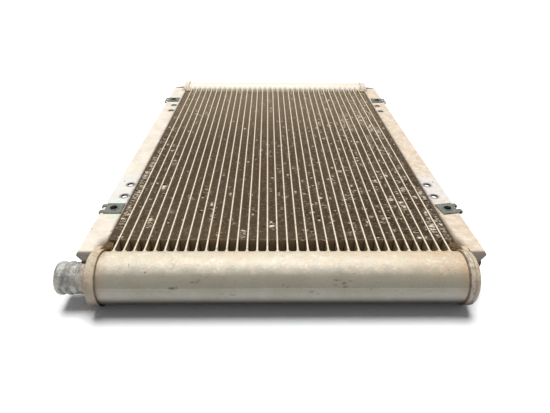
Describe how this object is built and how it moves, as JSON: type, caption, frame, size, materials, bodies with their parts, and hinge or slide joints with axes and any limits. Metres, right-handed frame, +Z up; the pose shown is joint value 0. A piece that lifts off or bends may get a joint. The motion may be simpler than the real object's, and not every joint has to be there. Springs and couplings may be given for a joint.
{
  "type": "hydraulic oil cooler",
  "caption": "Flat brazed oil cooler: tube-and-fin core between two round header tanks, with a hose stub at an end of one tank, flanged side plates and spring clip nuts.",
  "frame": {"origin": "centre of the flange hole rectangles, in the top plane of the two mounting flanges, which is also the tube tops' plane", "axes": "+Z up with the cooler lying flat, +X across the core along the tanks towards the domed caps, +Y along the flat tubes from the inlet tank to the outlet tank"},
  "size_m": [0.4399, 0.6755, 0.057],
  "materials": {
    "bare_aluminium": "satin, dusty",
    "fin_aluminium": "thin folded sheet, dark and dirty",
    "painted_aluminium": "worn silver-grey paint with dust",
    "cast_aluminium": "rough, bare",
    "weld_aluminium": "rough, dark",
    "spring_steel": "dark, plated"
  },
  "bodies": {
    "cooler": {"tube_01": "bare_aluminium", "tube_02": "bare_aluminium", "tube_03": "bare_aluminium", "tube_04": "bare_aluminium", "tube_05": "bare_aluminium", "tube_06": "bare_aluminium", "tube_07": "bare_aluminium", "tube_08": "bare_aluminium", "tube_09": "bare_aluminium", "tube_10": "bare_aluminium", "tube_11": "bare_aluminium", "tube_12": "bare_aluminium", "tube_13": "bare_aluminium", "tube_14": "bare_aluminium", "tube_15": "bare_aluminium", "tube_16": "bare_aluminium", "tube_17": "bare_aluminium", "tube_18": "bare_aluminium", "tube_19": "bare_aluminium", "tube_20": "bare_aluminium", "tube_21": "bare_aluminium", "tube_22": "bare_aluminium", "tube_23": "bare_aluminium", "tube_24": "bare_aluminium", "tube_25": "bare_aluminium", "tube_26": "bare_aluminium", "tube_27": "bare_aluminium", "tube_28": "bare_aluminium", "tube_29": "bare_aluminium", "tube_30": "bare_aluminium", "tube_31": "bare_aluminium", "tube_32": "bare_aluminium", "tube_33": "bare_aluminium", "tube_34": "bare_aluminium", "fins": "fin_aluminium", "front_tank": "painted_aluminium", "rear_tank": "painted_aluminium", "front_cap_left": "painted_aluminium", "front_cap_right": "painted_aluminium", "rear_cap_left": "painted_aluminium", "rear_cap_right": "painted_aluminium", "side_plate_left": "painted_aluminium", "side_plate_right": "painted_aluminium", "inlet_stub": "cast_aluminium", "outlet_stub": "cast_aluminium", "tab_weld_front_left": "weld_aluminium", "tab_weld_front_right": "weld_aluminium", "tab_weld_rear_left": "weld_aluminium", "tab_weld_rear_right": "weld_aluminium"},
    "clip_front_left": {"clip_nut_front_left": "spring_steel"},
    "clip_front_right": {"clip_nut_front_right": "spring_steel"},
    "clip_rear_left": {"clip_nut_rear_left": "spring_steel"},
    "clip_rear_right": {"clip_nut_rear_right": "spring_steel"}
  },
  "joints": [
    {"name": "clip_front_left_slide", "type": "slide", "parent": "cooler", "child": "clip_front_left", "axis": [-1, 0, 0], "range_m": [0, 0.027]},
    {"name": "clip_front_right_slide", "type": "slide", "parent": "cooler", "child": "clip_front_right", "axis": [0.9816, 0.1908, 0], "range_m": [0, 0.027]},
    {"name": "clip_rear_left_slide", "type": "slide", "parent": "cooler", "child": "clip_rear_left", "axis": [-1, 0, 0], "range_m": [0, 0.027]},
    {"name": "clip_rear_right_slide", "type": "slide", "parent": "cooler", "child": "clip_rear_right", "axis": [1, 0, 0], "range_m": [0, 0.027]}
  ]
}
